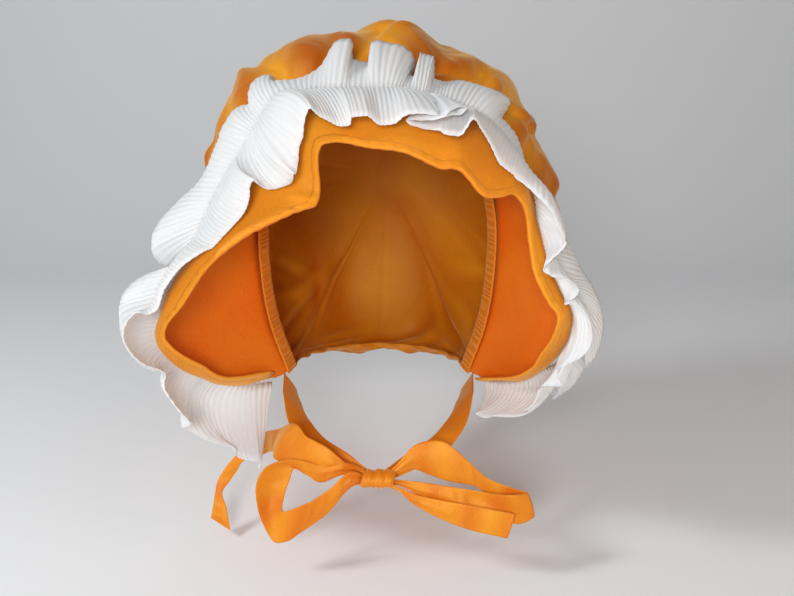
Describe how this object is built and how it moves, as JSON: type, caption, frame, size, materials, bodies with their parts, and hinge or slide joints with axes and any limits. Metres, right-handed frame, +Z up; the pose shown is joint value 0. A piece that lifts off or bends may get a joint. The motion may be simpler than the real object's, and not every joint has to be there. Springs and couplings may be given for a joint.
{
  "type": "poke bonnet",
  "caption": "Soft cloth poke bonnet with a puffed gathered crown, a hemmed brim, a pleated ruffle and ties knotted in a bow under the chin.",
  "frame": {"origin": "the head seat: inner face of the seam band at its top centre, on top of the wearer's head", "axes": "+Z up, the wearer looks along -Y, +X to the right seen from the front"},
  "size_m": [0.3082, 0.2406, 0.3445],
  "materials": {
    "orange_cloth": "plain woven cotton with a soft sheen",
    "orange_ribbon": "the same cotton folded into flat ties",
    "white_pleated_cloth": "thin white cloth set in narrow crystal pleats"
  },
  "bodies": {
    "root": {"crown_side": "orange_cloth", "crown_back": "orange_cloth", "brim": "orange_cloth", "seam_band": "orange_cloth", "ruffle": "white_pleated_cloth", "tie_right": "orange_ribbon", "tie_left": "orange_ribbon", "bow_knot": "orange_ribbon", "bow_loop_left": "orange_ribbon", "bow_loop_right": "orange_ribbon", "bow_tail_left": "orange_ribbon", "bow_tail_right": "orange_ribbon"}
  },
  "joints": []
}
